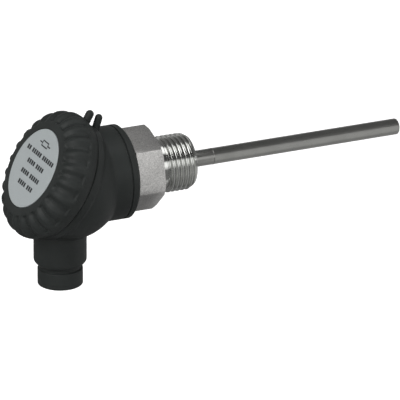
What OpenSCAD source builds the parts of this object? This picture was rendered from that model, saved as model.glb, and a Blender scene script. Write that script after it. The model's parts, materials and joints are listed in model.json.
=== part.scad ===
// Resistance thermometer with a plastic connection head, screwed process fitting and closed
// protection tube. The probe axis is +X, the cable gland points to -Z, and the origin is the
// centre of the sealing face of the hexagon. All lengths are in millimetres.

/* [Probe] */
// Insertion length, from the sealing face to the tip
insertion_len = 100; // [60:1:400]
// Outer diameter of the protection tube
tube_d = 6; // [4:0.5:8]
// Wall thickness of the protection tube
tube_wall = 0.5; // [0.4:0.05:0.8]
// Thickness of the closed end
tip_wall = 1; // [0.6:0.1:2]
// Radius of the rounded edge at the tip
tip_round = 0.8; // [0.3:0.1:1.2]
// Length of the tube inside the process fitting, behind the sealing face
tube_seat = 8.5; // [5:0.5:9]
// Height of the tapered shoulder that stops the tube at the end of the thread
tube_shoulder = 0.15; // [0.1:0.05:0.25]
// Length of that taper
tube_taper = 1; // [0.6:0.1:2]

/* [Process fitting] */
// Major diameter of the process thread
thread_d = 20.955; // [20:0.005:22]
// Length from the sealing face to the end of the thread
thread_len = 14.8; // [12:0.1:20]
// Radius of the smooth pilot in front of the thread
pilot_cut = 1.45; // [1:0.05:1.8]
// Length of the chamfer that leads the thread in
thread_lead = 2.3; // [1:0.1:3]
// Hexagon width across flats
hex_af = 27; // [24:0.5:30]
// Hexagon thickness
hex_len = 11.1; // [9:0.1:12]
// Length of the chamfer on the corners of the hexagon
hex_chamfer = 0.9; // [0.6:0.1:2]
// Distance between the corners that the chamfer leaves on the sealing face
hex_face_d = 28.6; // [25:0.2:30]
// Turn of the hexagon about the probe axis, where the thread came to a stop
hex_turn = 47; // [0:1:60]
// Diameter of the stub that screws into the head
stub_d = 18; // [16:0.5:20]
// Diameter of the lead passage in the stub
passage_d = 9; // [7:0.5:11]

/* [Head] */
// Distance from the sealing face back to the centre of the bowl
head_x = 34.1; // [33.5:0.1:34.8]
// Distance of the bowl's centre below the probe axis
head_drop = 0.3; // [0:0.1:0.6]
// Tilt of the lid away from the probe axis
lid_tilt = 30; // [20:1:40]
// Outer diameter of the bowl
bowl_d = 43.4; // [43:0.1:44.4]
// Wall thickness of the bowl
bowl_wall = 2.2; // [1.6:0.1:2.6]
// Diameter of the collar that carries the bowl on the hexagon
collar_d = 34.6; // [33:0.2:36]
// Length of the edge break on the collar
collar_bevel = 0.9; // [0.4:0.1:1.5]
// Distance of the fine groove round the collar from the sealing face
collar_groove_x = 14.1; // [13.5:0.1:18]
// Step from the bowl out to its rim under the lid
rim_step = 0.7; // [0.5:0.05:1.2]
// Height of that rim above the centre of the bowl
rim_top = 1.4; // [0.8:0.1:2]
// Step from the bowl in to the neck that the lid screws on to
neck_step = 0.9; // [0.6:0.05:1.2]
// Wall thickness of the neck
neck_wall = 2; // [1.6:0.1:2.4]

/* [Lid] */
// Distance that the lid stands out beyond the bowl
lid_overhang = 2.55; // [2.3:0.05:3.5]
// Height of the lid's face above the centre of the bowl
face_h = 13.8; // [13.4:0.1:15]
// Height of the lid's rear edge above the rim
lid_gap = 0.3; // [0.2:0.05:0.5]
// Height at which the ribs end
rib_end = 4.7; // [4:0.1:6]
// Height of the centre of the rounded flank
flank_h = 6.5; // [6.3:0.1:7]
// Radius of the rounded flank
flank_r = 7.3; // [6.8:0.05:8]
// Distance that the flank tapers in towards the rear edge
edge_taper = 1.65; // [1:0.05:2]
// Thickness of the lid's top
lid_top_wall = 2.2; // [1.6:0.1:2.6]
// Number of grip ribs
ribs = 24; // [16:2:32]
// Radius of the groove between two ribs
groove_r = 0.95; // [0.7:0.05:1.2]
// Depth of the groove between two ribs
groove_depth = 0.7; // [0.4:0.05:0.9]
// Radial clearance between the lid and the neck, which the screw thread bridges
neck_gap = 0.55; // [0.4:0.05:0.8]
// Width of the bare rim of the face round the label disc
face_margin = 1.95; // [1.5:0.05:4]
// Thickness of the label disc
label_t = 0.5; // [0.3:0.05:0.8]
// Depth of the seat for the label disc
label_seat = 0.35; // [0.2:0.05:0.6]
// Thickness of the lid gasket
gasket_t = 1.5; // [1:0.1:2]

/* [Seal lugs] */
// Diameter of the lug on the lid
lid_lug_d = 3.1; // [2:0.1:3.2]
// Length of the lid lug beyond the flank
lid_lug_len = 3.15; // [2:0.05:5]
// Height of the lid lug above the centre of the bowl
lid_lug_h = 3.3; // [3.2:0.1:4]
// Diameter of the lug on the bowl
bowl_lug_d = 2.8; // [2:0.1:3]
// Length of the bowl lug beyond the collar
bowl_lug_len = 6.4; // [4:0.1:7]
// Distance of the bowl lug's foot from the sealing face
bowl_lug_x = 21.9; // [21.4:0.1:22.8]
// Lean of the bowl lug towards the probe
bowl_lug_lean = 18; // [0:1:24]

/* [Cable gland] */
// Distance from the bowl's centre back to the gland axis
gland_offset = 1.7; // [1.3:0.1:2.5]
// Diameter of the boss moulded on the bowl
boss_d = 19.4; // [18.6:0.2:20]
// Length of the boss below the bowl
boss_len = 10; // [9:0.1:12]
// Length of the taper at the end of the boss
boss_taper = 1.7; // [1:0.1:2]
// Diameter of the bore that takes the seal and the nut
gland_bore_d = 13.9; // [13:0.1:14.5]
// Depth of that bore, from the end of the boss to the shoulder under the seal
gland_depth = 11; // [10:0.1:12]
// Diameter of the way from the bowl into the gland
cable_way_d = 9.2; // [8.6:0.2:10]
// Height of the rubber seal
seal_h = 4; // [3:0.1:5]
// Bore of the rubber seal
seal_bore_d = 7.6; // [5:0.2:8]
// Thickness of the thrust washer
washer_t = 1; // [0.6:0.1:1.5]
// Diameter of the nut
nut_d = 16.6; // [15:0.1:17]
// Height of the nut's head
nut_h = 6.3; // [5:0.1:8]
// Diameter of the recess above the nut's head
nut_neck_d = 15.2; // [14.4:0.1:15.4]
// Height of the recess above the nut's head
nut_neck_h = 1.3; // [0.8:0.1:2]
// Bore of the nut, for the cable
nut_bore_d = 8.4; // [7:0.2:9]

/* [Terminals] */
// Diameter of the terminal base
base_d = 30.4; // [30:0.2:31]
// Thickness of the terminal base
base_t = 4.5; // [3.5:0.1:5]
// Height of the pads under the terminal plates
pad_h = 1.5; // [1:0.1:2]
// Distance of a terminal screw from the middle plane
terminal_y = 6.5; // [6.2:0.1:7]
// Height of a terminal screw above the leads
terminal_z = 2.8; // [2.75:0.05:3]
// Width of the terminal plate
plate_w = 6; // [5.6:0.1:6.2]
// Thickness of the terminal plate
plate_t = 1; // [0.8:0.1:1.2]
// Shank diameter of the terminal and base screws
screw_d = 3; // [2.5:0.1:3]
// Head diameter of the terminal and base screws
screw_head_d = 5.6; // [5:0.1:5.8]
// Head height of the terminal and base screws
screw_head_h = 2; // [1.6:0.1:2.4]
// Distance of a base screw from the edge of the base
base_screw_edge = 3; // [2.9:0.05:3.2]

/* [Measuring insert] */
// Length of the sensing element
element_len = 4.5; // [2:0.1:6]
// Width of the sensing element
element_w = 2.3; // [1.6:0.1:2.6]
// Thickness of the sensing element
element_t = 1.3; // [0.8:0.1:1.6]
// Diameter of an insulated lead
lead_d = 1.4; // [1:0.1:1.5]
// Distance between the two leads
lead_pitch = 1.7; // [1.6:0.05:1.9]
// Bend radius of a lead at its terminal
lead_bend = 2; // [1.6:0.1:2.4]
// Diameter of a wire ferrule
ferrule_d = 1.9; // [1.8:0.05:2.1]
// Length of a wire ferrule
ferrule_len = 6; // [4:0.5:7]
// Outer diameter of the insulating sleeve
sleeve_d = 4.6; // [4:0.1:4.8]
// Bore of the insulating sleeve
sleeve_bore = 3.6; // [3.3:0.1:3.8]
// Length of the insulating sleeve inside the tube
sleeve_len = 66; // [20:1:80]

/* [Hidden] */

$fn = 96;

// Clearances
turn_fit = 0.06;      // radial, a part that turns in its hole
seat_fit = 0.02;      // radial, a part fixed in its hole
loose_fit = 0.3;      // between curved faces that don't bear on each other
screw_play = 0.2;     // radial, a screw in the hole of the piece that it holds
thread_play = 0.08;   // radial, an external thread in its nut or boss
over = 1;             // how far a cutter runs past the face that it opens
merge = 2;            // how far an added piece runs into the one that carries it

// Probe
tube_r = tube_d / 2;
tube_bore_r = tube_r - tube_wall;
tube_seat_r = tube_r - tube_shoulder;

// Fitting
thread_r = thread_d / 2;
thread_end_r = thread_r - pilot_cut;
hex_r = hex_af / 2 / cos(30);
hex_corner_margin = 0.1;
stub_r = stub_d / 2;
stub_step = 0.5;
passage_end = tube_seat + stub_step;

// Fitting seal, in a recess at the end of the collar
ring_wire = 1.5;
ring_play = 0.1;
ring_mid_r = stub_r + ring_wire / 2 + ring_play;
ring_seat_r = ring_mid_r + ring_wire / 2 + 2 * ring_play;

// Head
bowl_r = bowl_d / 2;
bowl_in_r = bowl_r - bowl_wall;
base_r = base_d / 2;
base_play = 0.76;
floor_x = head_x - sqrt(bowl_in_r * bowl_in_r - (base_r + base_play) * (base_r + base_play));
stub_end = floor_x - stub_step;
collar_r = collar_d / 2;
collar_groove_w = 0.4;
collar_groove_depth = 0.3;
rim_r = bowl_r + rim_step;
rim_foot = -2.2;
rim_flare = 0.9;
neck_r = bowl_r - neck_step;
mouth_r = neck_r - neck_wall;
screw_floor = 2.8;
screw_hole_depth = floor_x - hex_len - screw_floor;

// Lid
lid_r = bowl_r + lid_overhang;
lid_edge_r = lid_r - edge_taper;
lid_bottom = rim_top + lid_gap;
lid_bore_r = neck_r + neck_gap;
lid_lug_foot = lid_bore_r + loose_fit;
lid_lug_reach = lid_r + lid_lug_len;
ceiling_h = face_h - lid_top_wall;
neck_top = ceiling_h - gasket_t - seat_fit;
flank_x = lid_r - flank_r;
flank_angle = asin(min(1, (face_h - flank_h) / flank_r));
face_r = flank_x + flank_r * cos(flank_angle);
groove_centre = groove_r - groove_depth;
groove_tail = 45;
groove_overrun = 12;
label_fit = 0.15;
label_r = face_r - face_margin;
gasket_lip = 0.4;
gasket_in_r = mouth_r - gasket_lip;
gasket_out_r = lid_bore_r - loose_fit;

// Gland
gland_x = head_x + gland_offset;
boss_r = boss_d / 2;
boss_tip_r = nut_d / 2;
boss_end = bowl_r + head_drop + boss_len;
gland_shoulder = boss_end - gland_depth;
gland_bore_r = gland_bore_d / 2;
seal_play = 0.1;
washer_z = -gland_shoulder - seal_h;
shank_z = washer_z - washer_t;
nut_stand_off = 0.1;
nut_neck_z = -boss_end - nut_stand_off;
nut_head_z = nut_neck_z - nut_neck_h;
nut_end_z = nut_head_z - nut_h;
nut_chamfer = 0.4;
shank_r = gland_bore_r - thread_play;
seal_r = gland_bore_r - seal_play;

// Terminals
base_top = floor_x + base_t;
base_screw_z = base_r - base_screw_edge;
plate_x = base_top + pad_h;
wire_x = plate_x + plate_t + ferrule_d / 2;
head_x0 = plate_x + plate_t + ferrule_d + loose_fit;
screw_r = screw_d / 2;
screw_hole_r = screw_r + turn_fit;
screw_head_r = screw_head_d / 2;
slot_w = 0.8;
slot_depth = 0.9;
lead_hole_d = 6;
barrier_t = 1.2;
barrier_h = 3.2;
plate_margin = 0.4;
plate_foot = ferrule_d / 2 + plate_margin;
plate_head = terminal_z + plate_w / 2;
pad_margin = 0.6;
screw_tip_gap = 1;
terminal_shank = head_x0 - floor_x - screw_tip_gap - pad_margin;

// Measuring insert
lead_r = lead_d / 2;
lead_y = lead_pitch / 2;
element_gap = 1.5;
element_end = insertion_len - tip_wall - element_gap;
element_start = element_end - element_len;
paste_rise = 5;
paste_start = element_start - paste_rise;
paste_end = insertion_len - tip_wall;
sleeve_lap = 2;
sleeve_start = -tube_seat - sleeve_lap;
plug_r = passage_d / 2 - seat_fit;
plug_start = stub_end - stub_step;
plug_len = 8;

// Places children along the probe axis: local z is +X.
module along_probe(x = 0) {
    translate([x, 0, 0]) rotate([0, 90, 0]) children();
}

// Places children on the lid axis: local z points out of the face, local x points up its slope.
module on_lid_axis() {
    translate([-head_x, 0, -head_drop]) rotate([0, lid_tilt - 90, 0]) children();
}

// A ring or a tube from z0 to z1.
module ring(r_out, r_in, z0, z1) {
    translate([0, 0, z0]) difference() {
        cylinder(r = r_out, h = z1 - z0);
        translate([0, 0, -over]) cylinder(r = r_in, h = z1 - z0 + 2 * over);
    }
}

// A straight round-ended lug along +z, foot at the origin.
module lug(d, length) {
    cylinder(d = d, h = length - d / 2);
    translate([0, 0, length - d / 2]) sphere(d = d);
}

// Half of the bowl's outline about the lid axis: ball, rim and neck.
module bowl_outline() {
    intersection() {
        circle(r = bowl_r);
        translate([0, -bowl_r]) square([bowl_r, bowl_r + rim_foot]);
    }
    polygon([[0, rim_foot - over], [bowl_r - over, rim_foot - over], [bowl_r - loose_fit, rim_foot],
             [rim_r, rim_foot + rim_flare], [rim_r, rim_top], [neck_r, rim_top], [neck_r, neck_top],
             [0, neck_top]]);
}

// Half of the wiring chamber's outline about the lid axis: ball and mouth.
module chamber_outline() {
    intersection() {
        circle(r = bowl_in_r);
        translate([0, -bowl_r]) square([bowl_r, bowl_r]);
    }
    translate([0, -over]) square([mouth_r, neck_top + 2 * over]);
}

module housing_solid() {
    on_lid_axis() rotate_extrude() bowl_outline();
    // collar that takes the process fitting
    along_probe(-floor_x - merge) cylinder(r = collar_r, h = floor_x + merge - hex_len - collar_bevel);
    along_probe(-hex_len - collar_bevel)
        cylinder(r1 = collar_r, r2 = collar_r - collar_bevel, h = collar_bevel);
    // gland boss, trimmed where the lid turns above it
    difference() {
        translate([-gland_x, 0, 0]) {
            translate([0, 0, -boss_end + boss_taper]) cylinder(r = boss_r, h = boss_end - boss_taper);
            translate([0, 0, -boss_end]) cylinder(r1 = boss_tip_r, r2 = boss_r, h = boss_taper);
        }
        on_lid_axis() translate([0, 0, rim_top]) cylinder(r = lid_r * 2, h = lid_r);
    }
    translate([-bowl_lug_x, 0, collar_r]) rotate([0, bowl_lug_lean, 0])
        translate([0, 0, -merge]) lug(bowl_lug_d, bowl_lug_len + merge);
}

module housing_hollow() {
    // wiring chamber, flat where the terminal base stands
    difference() {
        on_lid_axis() rotate_extrude() chamber_outline();
        translate([-floor_x, -bowl_r, -bowl_r]) cube(2 * bowl_r);
    }
    // seat of the process fitting, with the recess for its ring
    along_probe(-floor_x - over) cylinder(r = stub_r + seat_fit, h = floor_x + over);
    along_probe(-hex_len - ring_wire) cylinder(r = ring_seat_r, h = ring_wire + over);
    along_probe(-collar_groove_x - collar_groove_w / 2)
        ring(collar_r + over, collar_r - collar_groove_depth, 0, collar_groove_w);
    // gland
    translate([-gland_x, 0, -boss_end - over])
        cylinder(r = gland_bore_r, h = boss_end + over - gland_shoulder);
    translate([-gland_x, 0, -gland_shoulder - over])
        cylinder(d = cable_way_d, h = gland_shoulder + over);
    // holes for the base screws
    for (side = [-1, 1])
        translate([0, 0, side * base_screw_z])
            along_probe(-floor_x - over) cylinder(r = screw_r + seat_fit, h = screw_hole_depth + over);
}

// Moulded bowl with the collar, the neck and the gland boss.
module housing() {
    color("#2c3030") difference() {
        housing_solid();
        housing_hollow();
    }
}

// One groove of the grip: an arc over the rounded flank that runs out at the tapered rear edge.
module grip_groove() {
    translate([flank_x, 0, flank_h]) rotate([90, groove_tail, 0])
        rotate_extrude(angle = groove_tail + flank_angle + groove_overrun)
            translate([flank_r + groove_centre, 0]) circle(r = groove_r);
}

// Half of the lid's outline about its axis: tapered rear edge, skirt, rounded flank and face.
module lid_outline() {
    intersection() {
        union() {
            square([flank_x, face_h]);
            translate([flank_x, flank_h]) circle(r = flank_r);
            square([lid_r, flank_h]);
        }
        polygon([[0, lid_bottom], [lid_edge_r, lid_bottom], [lid_r, rib_end],
                 [lid_r, face_h], [0, face_h]]);
    }
}

// Screwed lid with the rounded, ribbed flank and its seal lug.
module lid() {
    color("#323636") on_lid_axis() difference() {
        union() {
            difference() {
                rotate([0, 0, 180 / ribs]) rotate_extrude() lid_outline();
                for (i = [0 : ribs - 1]) rotate([0, 0, i * 360 / ribs]) grip_groove();
            }
            translate([lid_lug_foot, 0, lid_lug_h]) rotate([0, 90, 0])
                lug(lid_lug_d, lid_lug_reach - lid_lug_foot);
        }
        translate([0, 0, lid_bottom - over]) cylinder(r = lid_bore_r, h = ceiling_h - lid_bottom + over);
        translate([0, 0, face_h - label_seat]) cylinder(r = label_r + label_fit, h = label_seat + over);
    }
}

// Round nameplate, bonded in its seat.
module label_disc() {
    color("#a3aaab") on_lid_axis() translate([0, 0, face_h - label_seat])
        cylinder(r = label_r, h = label_t);
}

// Flat ring under the lid's top, pressed by the neck.
module lid_gasket() {
    color("#1c1c1c") on_lid_axis() ring(gasket_out_r, gasket_in_r, neck_top, neck_top + gasket_t);
}

// Pressure nut: threaded shank, recess and round head, bored for the cable.
module gland_nut() {
    color("#2e3131") translate([-gland_x, 0, 0]) difference() {
        rotate_extrude() polygon([
            [nut_bore_d / 2, shank_z], [shank_r, shank_z], [shank_r, nut_neck_z],
            [nut_neck_d / 2, nut_neck_z], [nut_neck_d / 2, nut_head_z], [nut_d / 2, nut_head_z],
            [nut_d / 2, nut_end_z + nut_chamfer], [nut_d / 2 - nut_chamfer, nut_end_z],
            [nut_bore_d / 2, nut_end_z]]);
    }
}

// Thrust washer that the nut presses on the seal.
module gland_washer() {
    color("#c9c9c4") translate([-gland_x, 0, 0])
        ring(seal_r, nut_bore_d / 2, washer_z - washer_t, washer_z);
}

// Rubber seal that grips the cable.
module gland_seal() {
    color("#1b1c1c") translate([-gland_x, 0, 0])
        ring(seal_r, seal_bore_d / 2, washer_z, -gland_shoulder);
}

// Turned fitting: process thread, hexagon and the stub that screws into the head.
module process_fitting() {
    color("#b2aca6") difference() {
        union() {
            along_probe(-stub_end) cylinder(r = stub_r, h = stub_end - hex_len + over);
            hexagon();
            along_probe(-over) cylinder(r = thread_r, h = thread_len - thread_lead + over);
            along_probe(thread_len - thread_lead)
                cylinder(r1 = thread_r, r2 = thread_end_r, h = thread_lead);
        }
        along_probe(-stub_end - over) cylinder(d = passage_d, h = stub_end + over - passage_end);
        along_probe(-passage_end - over)
            cylinder(r = tube_seat_r + seat_fit, h = passage_end + thread_len + 2 * over);
        along_probe(thread_len - tube_taper)
            cylinder(r1 = tube_seat_r + seat_fit, r2 = tube_r + tube_shoulder + seat_fit,
                     h = 2 * tube_taper);
    }
}

// Hexagon with the corners turned off at the sealing face.
module hexagon() {
    intersection() {
        along_probe(-hex_len) rotate([0, 0, hex_turn]) cylinder(r = hex_r, h = hex_len, $fn = 6);
        union() {
            along_probe(-hex_len) cylinder(r = hex_r + over, h = hex_len - hex_chamfer);
            along_probe(-hex_chamfer)
                cylinder(r1 = hex_r + hex_corner_margin, r2 = hex_face_d / 2, h = hex_chamfer);
        }
    }
}

// Sealing ring between the hexagon and the collar.
module fitting_o_ring() {
    color("#191919") along_probe(-hex_len - ring_wire / 2)
        rotate_extrude() translate([ring_mid_r, 0]) circle(d = ring_wire, $fn = 32);
}

// Closed protection tube, drawn and rounded at the tip.
module protection_tube() {
    color("#b4b2ae") along_probe() difference() {
        union() {
            translate([0, 0, -tube_seat])
                cylinder(r = tube_seat_r, h = tube_seat + thread_len - tube_taper);
            translate([0, 0, thread_len - tube_taper])
                cylinder(r1 = tube_seat_r, r2 = tube_r, h = tube_taper);
            translate([0, 0, thread_len])
                cylinder(r = tube_r, h = insertion_len - tip_round - thread_len);
            rotate_extrude() {
                translate([tube_r - tip_round, insertion_len - tip_round]) intersection() {
                    circle(r = tip_round, $fn = 48);
                    square(tip_round);
                }
                translate([0, insertion_len - tip_round - tip_wall])
                    square([tube_r - tip_round, tip_round + tip_wall]);
            }
        }
        translate([0, 0, -tube_seat - over])
            cylinder(r = tube_bore_r, h = tube_seat + over + insertion_len - tip_wall);
    }
}

// Thin-film resistor on a ceramic chip.
module sensing_element() {
    color("#e8e6df") translate([element_start, -element_w / 2, -element_t / 2])
        cube([element_len, element_w, element_t]);
}

// Heat-conducting compound round the sensing element.
module thermal_paste() {
    color("#d9d9d4") difference() {
        along_probe(paste_start) cylinder(r = tube_bore_r - seat_fit, h = paste_end - paste_start);
        translate([element_start, -element_w / 2, -element_t / 2])
            cube([element_len, element_w, element_t]);
        for (side = [-1, 1])
            translate([0, side * lead_y, 0]) along_probe(paste_start - over)
                cylinder(r = lead_r, h = element_start - paste_start + over);
    }
}

// Woven sleeve over both leads inside the tube.
module insulating_sleeve() {
    color("#e3dcc6") along_probe()
        ring(sleeve_d / 2, sleeve_bore / 2, sleeve_start, sleeve_start + sleeve_len);
}

// One insulated lead, from the element to its terminal; side is -1 or 1.
module lead_wire(side) {
    bend_x = -wire_x + lead_bend;
    translate([0, side * lead_y, 0]) along_probe(bend_x) cylinder(r = lead_r, h = element_start - bend_x);
    translate([bend_x, side * (lead_y + lead_bend), 0]) rotate([0, 0, side > 0 ? 180 : 90])
        rotate_extrude(angle = 90) translate([lead_bend, 0]) circle(r = lead_r);
    translate([-wire_x, side * (lead_y + lead_bend), 0]) rotate([-90 * side, 0, 0])
        cylinder(r = lead_r, h = terminal_y - lead_y - lead_bend);
}

module lead_wire_a() {
    color("#c9281e") lead_wire(-1);
}

module lead_wire_b() {
    color("#efefec") lead_wire(1);
}

// Crimped sleeves on the bare ends of the leads.
module wire_ferrules() {
    color("#c4c6c8") for (side = [-1, 1])
        translate([-wire_x, side * (terminal_y - ferrule_len / 2), 0]) rotate([-90 * side, 0, 0])
            ring(ferrule_d / 2, lead_r + seat_fit, 0, ferrule_len);
}

// Resin that closes the lead passage of the stub.
module potting_plug() {
    color("#3a342c") difference() {
        along_probe(-plug_start) cylinder(r = plug_r, h = plug_len);
        for (side = [-1, 1])
            translate([0, side * lead_y, 0]) along_probe(-plug_start - over)
                cylinder(r = lead_r + seat_fit, h = plug_len + 2 * over);
    }
}

// Moulded terminal base with a pad and a barrier for each terminal.
module terminal_base() {
    color("#e6e1d4") difference() {
        union() {
            along_probe(-base_top) cylinder(r = base_r, h = base_t);
            for (side = [-1, 1]) {
                translate([-plate_x, side * terminal_y - plate_w / 2, -plate_foot - pad_margin])
                    cube([pad_h + over, plate_w, plate_foot + plate_head + 2 * pad_margin]);
                translate([-base_top - barrier_h,
                           side * (terminal_y + plate_w / 2 + barrier_t) - barrier_t / 2,
                           -plate_foot - pad_margin])
                    cube([barrier_h + over, barrier_t, plate_foot + plate_head + 2 * pad_margin]);
            }
        }
        along_probe(-base_top - over) cylinder(d = lead_hole_d, h = base_t + 2 * over);
        for (side = [-1, 1]) {
            translate([0, side * terminal_y, terminal_z]) along_probe(-plate_x - over)
                cylinder(r = screw_hole_r, h = base_t + pad_h + over - screw_tip_gap);
            translate([0, 0, side * base_screw_z]) along_probe(-base_top - over)
                cylinder(r = screw_r + screw_play, h = base_t + 2 * over);
        }
    }
}

// Brass plate under a terminal screw.
module terminal_plate(side) {
    translate([-plate_x - plate_t, side * terminal_y, 0]) difference() {
        translate([0, -plate_w / 2, -plate_foot]) cube([plate_t, plate_w, plate_foot + plate_head]);
        translate([0, 0, terminal_z]) along_probe(-over) cylinder(r = screw_hole_r, h = plate_t + 2 * over);
    }
}

module terminal_plate_a() {
    color("#c8a24a") terminal_plate(-1);
}

module terminal_plate_b() {
    color("#c8a24a") terminal_plate(1);
}

// Slotted cheese-head screw along the probe axis, its head towards the lid.
module slotted_screw(head_at, shank_len) {
    translate([-head_at - screw_head_h, 0, 0]) difference() {
        union() {
            along_probe() cylinder(r = screw_head_r, h = screw_head_h);
            along_probe(screw_head_h / 2) cylinder(r = screw_r, h = shank_len + screw_head_h / 2);
        }
        translate([-over, -screw_head_r - over, -slot_w / 2])
            cube([slot_depth + over, screw_head_d + 2 * over, slot_w]);
    }
}

module terminal_screw_a() {
    color("#c9c9c6") translate([0, -terminal_y, terminal_z])
        slotted_screw(head_x0, terminal_shank);
}

module terminal_screw_b() {
    color("#c9c9c6") translate([0, terminal_y, terminal_z])
        slotted_screw(head_x0, terminal_shank);
}

// The two screws that hold the terminal base on the floor of the bowl.
module base_screws() {
    color("#c9c9c6") for (side = [-1, 1])
        translate([0, 0, side * base_screw_z])
            slotted_screw(base_top, base_t + screw_hole_depth - screw_tip_gap);
}

housing();
lid();
label_disc();
lid_gasket();
gland_nut();
gland_washer();
gland_seal();
process_fitting();
fitting_o_ring();
protection_tube();
sensing_element();
thermal_paste();
insulating_sleeve();
lead_wire_a();
lead_wire_b();
wire_ferrules();
potting_plug();
terminal_base();
terminal_plate_a();
terminal_plate_b();
terminal_screw_a();
terminal_screw_b();
base_screws();
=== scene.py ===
"""Visual model of a screw-in resistance probe with a plastic connection head.

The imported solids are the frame: the lid axis and the gland axis come from it. Each sub-assembly below
is modelled in millimetres about its own axis and then settled into the frame, in metres.
"""

import json
import logging
import math
from dataclasses import dataclass
from enum import Enum

import bmesh
import bpy
from mathutils import Matrix, Quaternion, Vector


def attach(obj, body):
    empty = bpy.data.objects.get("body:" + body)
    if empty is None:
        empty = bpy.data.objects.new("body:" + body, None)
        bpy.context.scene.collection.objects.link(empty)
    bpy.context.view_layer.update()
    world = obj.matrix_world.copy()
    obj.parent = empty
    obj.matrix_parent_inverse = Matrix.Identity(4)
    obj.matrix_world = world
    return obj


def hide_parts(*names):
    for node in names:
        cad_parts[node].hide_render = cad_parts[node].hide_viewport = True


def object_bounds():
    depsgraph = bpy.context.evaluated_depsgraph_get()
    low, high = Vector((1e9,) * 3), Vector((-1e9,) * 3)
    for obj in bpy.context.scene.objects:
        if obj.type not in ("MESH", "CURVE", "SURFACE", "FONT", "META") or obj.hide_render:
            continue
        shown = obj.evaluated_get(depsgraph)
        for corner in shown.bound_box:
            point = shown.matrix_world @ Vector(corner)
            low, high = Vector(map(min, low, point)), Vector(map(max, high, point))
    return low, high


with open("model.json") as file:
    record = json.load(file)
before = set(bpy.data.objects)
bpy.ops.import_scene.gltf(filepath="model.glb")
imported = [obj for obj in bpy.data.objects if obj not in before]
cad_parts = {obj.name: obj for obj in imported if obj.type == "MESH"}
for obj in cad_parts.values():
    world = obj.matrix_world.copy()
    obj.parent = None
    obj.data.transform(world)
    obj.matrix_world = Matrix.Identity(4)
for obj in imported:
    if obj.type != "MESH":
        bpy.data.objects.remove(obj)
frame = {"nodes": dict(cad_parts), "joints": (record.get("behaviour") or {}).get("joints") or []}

logging.basicConfig(level=logging.INFO, format="%(message)s")
LOG = logging.getLogger("probe")

MM = 0.001
HALF_TURN = math.pi
FULL_TURN = 2 * math.pi
CAD_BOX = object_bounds()
NOISE_SPAN = (0.3, 0.7)
LID_PITCH = 3.0
RIDGE_SUNK = 0.15
RIDGE_HEIGHT = 0.3
SENSOR_MM = 36
CLIP_M = (0.1, 20)
FLOOR_SIDE_M = 12

Point = tuple[float, float]
Colour = tuple[float, float, float]
Piece = bpy.types.Object
Material = bpy.types.Material
Socket = bpy.types.NodeSocket


# ---------------------------------------------------------------- places in the frame


class Body(Enum):
    """The moving bodies that the new pieces ride."""

    HEAD = "head"
    LID = "screw_lid"
    NUT = "pressure_nut"


def joint_axis(name: str) -> tuple[Vector, Vector]:
    """Finds a hinge of the frame.

    Args:
        name: The joint's name.

    Returns:
        A point on the axis and the axis direction, in metres in the row frame.
    """
    joint = next(j for j in frame["joints"] if j["name"] == name)
    return Vector(joint["pos_m"]), Vector(joint["axis"]).normalized()


def place_on(point: Vector, axis: Vector, side: Vector) -> Matrix:
    """Makes the placement of a piece that is modelled about local z, in millimetres.

    Args:
        point: Where the local origin goes, in metres.
        axis: Where local z points.
        side: Where local x points, roughly.

    Returns:
        The matrix that carries local millimetres to metres in the row frame.
    """
    z = axis.normalized()
    y = z.cross(side).normalized()
    x = y.cross(z)
    turn = Matrix((x, y, z)).transposed().to_4x4()
    return Matrix.Translation(point) @ turn @ Matrix.Scale(MM, 4)


LID_POINT, LID_AXIS = joint_axis("lid_turn")
NUT_POINT, NUT_AXIS = joint_axis("nut_turn")
ON_LID = place_on(LID_POINT, LID_AXIS, Vector((0, 0, 1)))
ON_PROBE = place_on(Vector((0, 0, 0)), Vector((1, 0, 0)), Vector((0, 0, 1)))
ON_GLAND = place_on(NUT_POINT, NUT_AXIS, Vector((1, 0, 0)))


# ---------------------------------------------------------------- the workshop


def set_mode(mode: str) -> None:
    """Enters a mode of the active object."""
    bpy.ops.object.mode_set(mode=mode)


def apply_transform() -> None:
    """Moves the active object's place, turn and scale into its mesh."""
    bpy.ops.object.transform_apply(location=True, rotation=True, scale=True)


def deselect_all() -> None:
    """Leaves edit mode and clears the selection."""
    if bpy.context.object and bpy.context.object.mode != "OBJECT":
        set_mode("OBJECT")
    bpy.ops.object.select_all(action="DESELECT")


def take(piece: Piece) -> None:
    """Makes one object the only selected and active one."""
    deselect_all()
    piece.select_set(True)
    bpy.context.view_layer.objects.active = piece


def arc(centre: Point, radius: float, start: float, end: float, steps: int) -> list[Point]:
    """Points along a round stretch of an outline.

    Args:
        centre: Centre of the arc, as (radius, height).
        radius: Radius of the arc.
        start: First angle in degrees, 0 along the radius and 90 up.
        end: Last angle in degrees.
        steps: Number of stretches.

    Returns:
        The steps + 1 points.
    """
    angles = [math.radians(start + (end - start) * i / steps) for i in range(steps + 1)]
    return [(centre[0] + radius * math.cos(a), centre[1] + radius * math.sin(a)) for a in angles]


def rows(start: Point, end: Point, steps: int) -> list[Point]:
    """Points along a straight stretch, without its first point.

    Args:
        start: Where it begins.
        end: Where it ends.
        steps: Number of stretches.

    Returns:
        The points after the start.
    """
    share = [i / steps for i in range(1, steps + 1)]
    return [(start[0] + (end[0] - start[0]) * s, start[1] + (end[1] - start[1]) * s) for s in share]


def rod(radius: float, low: float, high: float) -> list[Point]:
    """Outline of a plain cylinder between two heights."""
    return [(0, low), (radius, low), (radius, high), (0, high)]


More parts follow.
